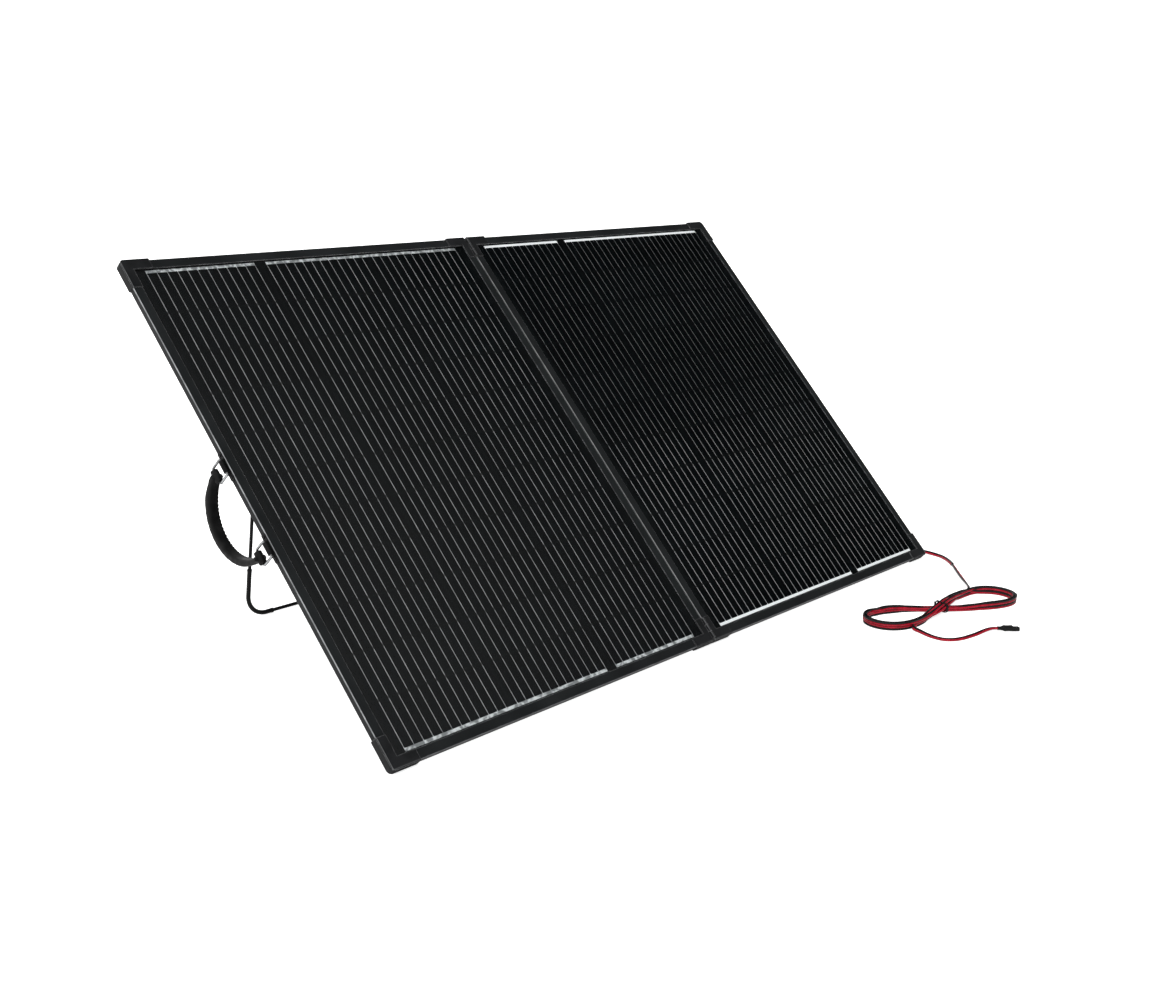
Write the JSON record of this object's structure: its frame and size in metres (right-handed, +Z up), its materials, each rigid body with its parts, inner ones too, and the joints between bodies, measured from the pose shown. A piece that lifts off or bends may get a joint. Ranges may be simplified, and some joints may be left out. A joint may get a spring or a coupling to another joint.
{
  "type": "folding solar panel",
  "caption": "Folding portable solar panel: framed glass panels on a fold hinge, with swing-out wire legs, a side carrying handle and a coiled output cable.",
  "frame": {"origin": "on the ground, at the middle of the standing panel, without its free cable", "axes": "+Z up, +X along the panels to the right as seen from the front, +Y to the back; the panels lean back, away from -Y"},
  "size_m": [1.4307, 1.0273, 0.638],
  "materials": {
    "frame_anodised": "black anodised extrusion, satin",
    "bare_aluminium": "mill finish",
    "panel_glass": "tempered low-iron glass, glossy",
    "solar_cell": "monocrystalline silicon wafer, dark blue-black",
    "tinned_ribbon": "tinned copper ribbon, bright",
    "laminate_film": "black laminate film",
    "cap_plastic": "black moulded plastic, fine grain",
    "black_steel": "black powder coat on steel",
    "bright_steel": "nickel-plated steel",
    "soft_rubber": "black rubber, matte",
    "cable_jacket": "red and black two-core PVC cable",
    "link_jacket": "black PVC cable"
  },
  "bodies": {
    "right_panel": {"right_top_rail": "frame_anodised", "right_bottom_rail": "frame_anodised", "right_outer_rail": "frame_anodised", "right_inner_rail": "frame_anodised", "right_corner_keys": "bare_aluminium", "right_glass": "panel_glass", "right_cells": "solar_cell", "right_tabbing": "tinned_ribbon", "right_encapsulant": "laminate_film", "right_backsheet": "laminate_film", "right_top_cap": "cap_plastic", "right_bottom_cap": "cap_plastic", "right_top_hinge_cap": "cap_plastic", "right_bottom_hinge_cap": "cap_plastic", "right_junction_box": "cap_plastic", "right_junction_lid": "cap_plastic", "right_leg_brackets": "black_steel", "right_bracket_rivets": "bright_steel", "right_leg_pins": "bright_steel", "hinge_pins": "bright_steel", "output_cable": "cable_jacket", "cable_clamp": "cap_plastic", "strain_relief": "soft_rubber", "right_link_cable": "link_jacket", "link_loop": "link_jacket", "cord_lead": "cable_jacket", "cord_bundle": "cable_jacket", "cord_tail": "cable_jacket", "cord_tie": "soft_rubber", "plug_body": "soft_rubber", "plug_contacts": "bright_steel"},
    "left_panel": {"left_top_rail": "frame_anodised", "left_bottom_rail": "frame_anodised", "left_outer_rail": "frame_anodised", "left_inner_rail": "frame_anodised", "left_corner_keys": "bare_aluminium", "left_glass": "panel_glass", "left_cells": "solar_cell", "left_tabbing": "tinned_ribbon", "left_encapsulant": "laminate_film", "left_backsheet": "laminate_film", "left_top_cap": "cap_plastic", "left_bottom_cap": "cap_plastic", "left_top_hinge_cap": "cap_plastic", "left_bottom_hinge_cap": "cap_plastic", "left_junction_box": "cap_plastic", "left_junction_lid": "cap_plastic", "left_leg_brackets": "black_steel", "left_bracket_rivets": "bright_steel", "left_leg_pins": "bright_steel", "handle_plates": "black_steel", "handle_screws": "bright_steel", "left_link_cable": "link_jacket"},
    "right_leg": {"right_leg_rod": "black_steel", "right_leg_sleeves": "soft_rubber"},
    "left_leg": {"left_leg_rod": "black_steel", "left_leg_sleeves": "soft_rubber"},
    "handle_rings": {"handle_rings": "bright_steel"},
    "handle_grip": {"handle_grip": "soft_rubber"}
  },
  "joints": [
    {"name": "panel_fold", "type": "hinge", "parent": "right_panel", "child": "left_panel", "pos_m": [0.00475, -0.05436, 0.32291], "axis": [0, 0.6769, 0.7361], "range_deg": [0, 180], "deforming": ["link_loop"]},
    {"name": "right_leg_swing", "type": "hinge", "parent": "right_panel", "child": "right_leg", "pos_m": [0.35275, 0.23972, 0.61355], "axis": [-1, 0, 0], "range_deg": [0, 51.8]},
    {"name": "left_leg_swing", "type": "hinge", "parent": "left_panel", "child": "left_leg", "pos_m": [-0.34325, 0.23972, 0.61355], "axis": [-1, 0, 0], "range_deg": [0, 51.8]},
    {"name": "ring_swing", "type": "hinge", "parent": "left_panel", "child": "handle_rings", "pos_m": [-0.69525, -0.05278, 0.31466], "axis": [0, 0.6769, 0.7361], "range_deg": [-10, 100]},
    {"name": "grip_swing", "type": "hinge", "parent": "handle_rings", "child": "handle_grip", "pos_m": [-0.69525, -0.03511, 0.29842], "axis": [0, 0.6769, 0.7361], "range_deg": [-60, 60]}
  ]
}
